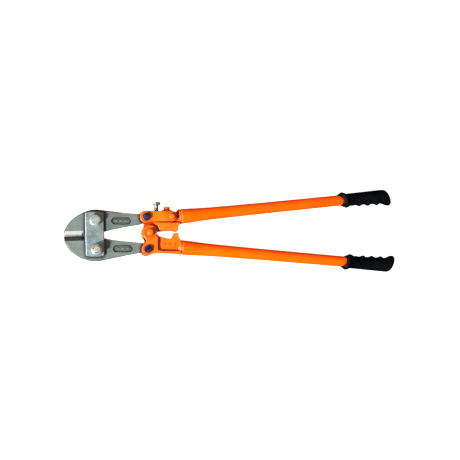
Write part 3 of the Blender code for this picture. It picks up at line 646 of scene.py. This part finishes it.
def make_hex_bolt(node, flats, shank, under, turn, material, flip=False, pitch=0.0):
    """Hexagonal bolt through the tool. A thread shows where its end stands out."""
    place = upright(node, flip)
    low, high = (v - MIDDLE for v in span(node, 2))
    if flip:
        low, high = -high, -low
    bolt = hex_head(node + "_bolt", flats, under, high, place, turn, flats / 2 * 0.95)
    stem_low = low + 12.0 if pitch else low
    stem = [(0.0, under + 1.0), (shank, under + 1.0), (shank, stem_low + 0.8)]
    stem += [(shank - 0.8, stem_low), (0.0, stem_low)]
    combine(bolt, lathe(node + "_stem", stem, place, AROUND_STEM), "UNION")
    if pitch:
        flipped = place @ Matrix.Rotation(math.pi, 4, "X")
        rod = thread(node + "_thread", shank, pitch, -13.0, -low, flipped)
        combine(bolt, rod, "UNION")
    return finish_metal(bolt, node, material)


def make_nut(node, flats, shank, turn, material):
    """Nut through the tool, with a countersunk bore."""
    low, high = (v - MIDDLE for v in span(node, 2))
    place = upright(node)
    nut = hex_head(node + "_blank", flats, low, high, place, turn)
    bore = shank + BORE_CLEARANCE
    sink = [(0.0, low - 1.0), (bore + 1.6, low - 1.0), (bore, low + 0.6), (bore, high - 0.6)]
    sink += [(bore + 1.6, high + 1.0), (0.0, high + 1.0)]
    combine(nut, lathe(node + "_bore", sink, place, AROUND_STEM), "DIFFERENCE")
    return finish_metal(nut, node, material)


def make_round_bolt(node, radius, shank, under, flange):
    """Round-headed bolt: a crowned head, on a flange if it has one."""
    low, high = (v - MIDDLE for v in span(node, 2))
    skirt = (high - under) * (0.30 if flange else 0.22)
    crown = radius * (0.72 if flange else 1.0)
    profile = [(0.0, high)]
    for i in range(1, 13):
        angle = math.radians(7.5 * i)
        reach = crown * (0.45 + 0.55 * math.sin(angle))
        profile.append((reach, under + skirt + (high - under - skirt) * math.cos(angle)))
    if flange:
        top = under + skirt
        profile += [(radius - 0.7, top), (radius - 0.2, top - 0.2), (radius, top - 0.7)]
    profile += [(radius, under + 0.3), (radius - 0.3, under), (shank, under)]
    profile += [(shank, low + 0.8), (shank - 0.8, low), (0.0, low)]
    bolt = lathe(node + "_turned", profile, upright(node))
    return finish_metal(bolt, node, CAST, limit=40.0)


def crossways(node):
    """Frame on the axis of a fastener that lies along +Y, at the middle of the tool."""
    spot = middle(node)
    return axis_frame((spot.x, 0.0, spot.z), (1.0, 0.0, 0.0), (0.0, 1.0, 0.0))


def make_side_fasteners():
    """Adjusting screw with its thread, clamp bolt and clamp washer."""
    place = crossways("adjusting_screw")
    low, high = span("adjusting_screw", 1)
    screw = hex_head("screw_head", SCREW_HEX, high - 5.6, high, place, turn=10.0, foot=7.6)
    flipped = place @ Matrix.Rotation(math.pi, 4, "X")
    rod = thread("screw_thread", SCREW_SHANK, SCREW_PITCH, -(high - 5.0), -low, flipped)
    combine(screw, rod, "UNION")
    finish_metal(screw, "adjusting_screw", SCREW)

    place = crossways("clamp_bolt")
    low, high = span("clamp_bolt", 1)
    washer_low, washer_high = span("clamp_washer", 1)
    bolt = hex_head("clamp_head", CLAMP_HEX, washer_high + 0.3, high, place, turn=14.0, foot=6.0)
    stem = [(0.0, washer_high + 1.5), (CLAMP_SHANK, washer_high + 1.5), (CLAMP_SHANK, low + 0.8)]
    stem += [(CLAMP_SHANK - 0.8, low), (0.0, low)]
    combine(bolt, lathe("clamp_stem", stem, place, AROUND_THREAD), "UNION")
    finish_metal(bolt, "clamp_bolt", CAST)
    bore, rim = CLAMP_SHANK + BORE_CLEARANCE, 11.4
    profile = [(bore, washer_high), (rim - 0.9, washer_high), (rim - 0.3, washer_high - 0.25)]
    profile += [(rim, washer_high - 0.8), (rim, washer_low + 0.3), (rim - 0.3, washer_low)]
    profile += [(bore, washer_low)]
    finish_metal(lathe("washer", profile, place, ring=True), "clamp_washer", CAST, limit=40.0)


def make_fasteners():
    """Every bolt, nut, screw and washer in fine, each hexagon with a turn of its own."""
    make_hex_bolt("upper_jaw_bolt", JAW_HEX, JAW_SHANK, ON_STRAP, -6.0, NICKEL)
    make_nut("upper_jaw_nut", JAW_HEX, JAW_SHANK, 12.0, NICKEL)
    make_hex_bolt("lower_jaw_bolt", JAW_HEX, JAW_SHANK, ON_STRAP, 20.0, NICKEL, flip=True, pitch=2.0)
    make_nut("lower_jaw_nut", JAW_HEX, JAW_SHANK, 22.0, NICKEL)
    for side in ("upper", "lower"):
        make_hex_bolt(side + "_rear_bolt", REAR_HEX, REAR_SHANK, ON_EAR, 28.0, BLACKED)
        make_nut(side + "_rear_nut", REAR_HEX, REAR_SHANK, 8.0, BLACKED)
    make_round_bolt("center_bolt", 8.2, PIVOT_SHANK, ON_EAR, flange=False)
    make_nut("center_nut", PIVOT_HEX, PIVOT_SHANK, 15.0, CAST)
    make_round_bolt("link_bolt", 9.0, PIVOT_SHANK, ON_EAR, flange=True)
    make_nut("link_nut", PIVOT_HEX, PIVOT_SHANK, 3.0, CAST)
    make_side_fasteners()


# ---------------------------------------------------------------- tubes and grips


def handle_frame(side):
    """Frame at a tube's mouth whose z axis runs down the tube and whose y axis points along +Z."""
    tube = TUBES[side]
    angle = math.radians(tube["angle"])
    along = Vector((math.cos(angle), math.sin(angle), 0.0))
    return axis_frame((*tube["mouth"], MIDDLE), (-along.y, along.x, 0.0), along)


def eased(points, at):
    """Value of a smooth curve through points of position and value."""
    for (a, one), (b, two) in zip(points, points[1:]):
        if at <= b:
            share = (at - a) / (b - a)
            share = share * share * (3 - 2 * share)
            return one + (two - one) * share
    return points[-1][1]


def make_tubes():
    """Both handle tubes, swaged to the mouth, their rolled rims in paler paint as a painted highlight."""
    stops = [along for along, _ in TUBE_PROFILE]
    between = {a + (b - a) * k / 4 for a, b in zip(stops, stops[1:]) for k in range(1, 4)}
    steps = sorted({*stops, *between})
    mouth, end = TUBE_PROFILE[0][1] / 2, TUBE_PROFILE[-1][1] / 2
    profile = [(MOUTH_BORE, 0.0), (mouth - 1.3, 0.0), (mouth - 0.4, 0.35), (mouth, 1.3)]
    profile += [(eased(TUBE_PROFILE, at) / 2, at) for at in steps if at > 2.0]
    profile += [(end, TUBE_LENGTH - 0.5), (end - 0.5, TUBE_LENGTH), (end - TUBE_WALL, TUBE_LENGTH)]
    profile += [(11.8, 46.0), (MOUTH_BORE, 39.0)]
    for side in TUBES:
        tube = lathe(side + "_tube_turned", profile, handle_frame(side), ring=True)
        finish_metal(tube, side + "_tube", TUBE, limit=40.0)
        # Faces at the mouth take the rim's painted highlight.
        tube.data.materials.append(RIM_HIGHLIGHT)
        to_tube = handle_frame(side).inverted()
        for face in tube.data.polygons:
            if (to_tube @ face.center).z < HIGHLIGHT_RIM_WIDTH * MM:
                face.material_index = 1


def curve(rows, at):
    """Point of a smooth curve through rows, each a distance and values, kept between neighbours."""
    last = len(rows) - 1
    i = max(k for k in range(last) if k == 0 or rows[k][0] <= at)
    t = (at - rows[i][0]) / (rows[i + 1][0] - rows[i][0])
    four = [rows[max(0, i - 1)], rows[i], rows[i + 1], rows[min(last, i + 2)]]
    point = []
    for a, b, c, d in zip(*four):
        value = b + 0.5 * t * (c - a + t * (2 * a - 5 * b + 4 * c - d + t * (3 * b - a - 3 * c + d)))
        point.append(min(max(value, min(b, c)), max(b, c)))
    return (at, *point[1:])


def grip_sections():
    """Fine sections of a grip: distance, outer half, inner half and sideways half."""
    start, outer_start, inner_start, depth_start = GRIP_FLANGE[-1]
    first = GRIP_FLANGE[0][0]
    sections = [curve(GRIP_FLANGE, first + (start - first) * k / 28) for k in range(29)]
    body_end = GRIP_LENGTH - GRIP_CAP
    lobe_start = RIDGE_START + RIDGE_PITCH * (RIDGE_COUNT - 0.5)
    count = 84
    for i in range(1, count + 1):
        t = i / count
        along = start + (body_end - start) * t
        outer = outer_start + (GRIP_BODY[0] - outer_start) * t
        inner = inner_start + (GRIP_BODY[1] - inner_start) * t**0.8
        depth = depth_start + (GRIP_BODY[2] - depth_start) * t
        turn = math.tau * (along - RIDGE_START) / RIDGE_PITCH
        rise = RIDGE_HEIGHT * min(1.0, max(0.0, (along - 14.0) / 10.0))
        if along < lobe_start:
            inner += rise * (math.cos(turn) + 0.2 * math.cos(2 * turn))
        else:
            lift = (along - lobe_start) / (body_end - 3.0 - lobe_start)
            lobe = GRIP_LOBE * math.sin(math.pi / 2 * min(1.0, lift)) ** 2
            inner += lobe - 0.8 * rise * max(0.0, 1.0 - lift)
        sections.append((along, outer, inner, depth))
    _, outer, inner, depth = sections[-1]
    for i in range(1, 17):
        angle = math.radians(90.0 * i / 16)
        scale = max(0.2, math.cos(angle) ** 0.6)
        along = body_end + GRIP_CAP * math.sin(angle)
        sections.append((along, outer * scale, inner * scale, depth * scale))
    return sections


def make_grips():
    """Both moulded grips: a lipped flange, finger waves on the inner side and a slanted round end."""
    first, last = GRIP_SLANT
    for side, tube in TUBES.items():
        edit = bmesh.new()
        rings = []
        for along, outer, inner, depth in grip_sections():
            slant = math.tan(math.radians(first + (last - first) * max(0.0, along / GRIP_LENGTH)))
            lip = GRIP_LIP * min(1.0, max(0.0, -along / 12.0))
            points = []
            for k in range(AROUND):
                turn = math.tau * k / AROUND
                height = math.cos(turn) * (outer if math.cos(turn) > 0 else inner)
                behind = tube["grip"] + along - height * slant + lip * math.sin(turn) ** 2
                points.append((height * tube["outside"], math.sin(turn) * depth, behind))
            rings.append(add_ring(edit, points))
        for one, two in zip(rings, rings[1:]):
            join_rings(edit, one, two)
        hub = edit.verts.new(sum((corner.co for corner in rings[0]), Vector()) / AROUND)
        for k in range(AROUND):
            edit.faces.new((rings[0][(k + 1) % AROUND], rings[0][k], hub))
        edit.faces.new(rings[-1])
        bmesh.ops.recalc_face_normals(edit, faces=edit.faces)
        place = handle_frame(side)
        edit.transform(place)
        grip = as_object(side + "_grip_moulded", edit)
        bore = TUBE_PROFILE[-1][1] / 2 + BORE_CLEARANCE
        low, high = tube["grip"] - GRIP_BORE_START, tube["grip"] + GRIP_BORE_END
        hole = lathe(side + "_grip_hole", [(0.0, low), (bore, low), (bore, high), (0.0, high)], place)
        combine(grip, hole, "DIFFERENCE")
        finish_metal(grip, side + "_grip", RUBBER, limit=40.0)


# ---------------------------------------------------------------- stage


def make_floor():
    """Plain pale floor that the tool lies on."""
    edit = bmesh.new()
    bmesh.ops.create_grid(edit, x_segments=1, y_segments=1, size=60.0)
    floor = as_object("floor", edit)
    material, _, shader, _ = new_material("floor_white")
    shader.inputs["Base Color"].default_value = (0.3, 0.3, 0.3, 1.0)
    shader.inputs["Roughness"].default_value = 0.9
    shader.inputs["Specular IOR Level"].default_value = 0.1
    shader.inputs["Emission Color"].default_value = (1.0, 1.0, 1.0, 1.0)
    shader.inputs["Emission Strength"].default_value = 0.95
    floor.data.materials.append(material)
    floor.visible_diffuse = False
    floor.visible_glossy = False


def add_light(name, at, toward, size, power, colour):
    """Soft square light, its place and aim in metres."""
    data = bpy.data.lights.new(name, "AREA")
    data.shape = "SQUARE"
    data.size = size
    data.energy = power
    data.color = colour
    lamp = bpy.data.objects.new(name, data)
    bpy.context.scene.collection.objects.link(lamp)
    lamp.location = at
    lamp.rotation_mode = "QUATERNION"
    lamp.rotation_quaternion = (Vector(toward) - Vector(at)).to_track_quat("-Z", "Y")
    return lamp


def make_lights():
    """Small key from the jaws' lower side, a low soft one beyond them, a red fill and a dim sky."""
    add_light("key", (-2.35, -1.35, 1.65), (-0.05, 0.0, 0.0), 0.35, 225.0, (0.98, 1.0, 0.97))
    add_light("left", (-2.6, -0.3, 0.6), (-0.2, 0.0, 0.0), 0.8, 36.0, (1.0, 0.97, 0.97))
    fill = add_light("fill", (0.5, 2.2, 0.9), (0.0, 0.0, 0.0), 1.2, 26.0, (1.0, 0.42, 0.32))
    fill.visible_glossy = False
    world = bpy.data.worlds.new("sky")
    world.use_nodes = True
    tree = world.node_tree
    ray = add_node(tree, "ShaderNodeTexCoord").outputs["Generated"]
    height = add_node(tree, "ShaderNodeSeparateXYZ", {0: ray}).outputs["Z"]
    shade = blend(tree, spread(tree, height, -0.1, 0.8), (0.04, 0.034, 0.034), (0.17, 0.15, 0.148))
    shade = blend(tree, spread(tree, height, 0.85, 1.0), shade, (0.60, 0.58, 0.57))
    seen = add_node(tree, "ShaderNodeLightPath").outputs["Is Camera Ray"]
    sky = tree.nodes["Background"]
    tree.links.new(blend(tree, seen, shade, (1.0, 1.0, 1.0)), sky.inputs["Color"])
    sky.inputs["Strength"].default_value = 1.0
    bpy.context.scene.world = world
    bpy.context.scene.view_settings.view_transform = "Standard"
    bpy.context.scene.view_settings.look = "Medium High Contrast"


def make_camera():
    """Camera nearly straight above, turned to the jaws and tipped to the lower handle."""
    yaw, pitch = math.radians(CAMERA_YAW), math.radians(CAMERA_PITCH)
    level = math.cos(pitch)
    back = Vector((-math.sin(yaw) * level, -math.sin(pitch), math.cos(yaw) * level))
    right = Vector((0.0, 1.0, 0.0)).cross(back).normalized()
    up = back.cross(right)
    data = bpy.data.cameras.new("camera")
    data.sensor_width = 36.0
    data.lens = CAMERA_LENS
    data.shift_x, data.shift_y = CAMERA_SHIFT
    data.clip_start, data.clip_end = 0.05, 50.0
    camera = bpy.data.objects.new("camera", data)
    bpy.context.scene.collection.objects.link(camera)
    roll = Matrix.Rotation(-math.radians(CAMERA_ROLL), 4, "Z")
    turn = Matrix((right, up, back)).transposed().to_4x4() @ roll
    spot = (Vector(CAMERA_TARGET) + back * CAMERA_DISTANCE) * MM
    camera.matrix_world = Matrix.Translation(spot) @ turn
    bpy.context.scene.camera = camera


make_castings()
make_jaws()
make_straps()
make_fasteners()
make_tubes()
make_grips()
make_floor()
make_lights()
make_camera()
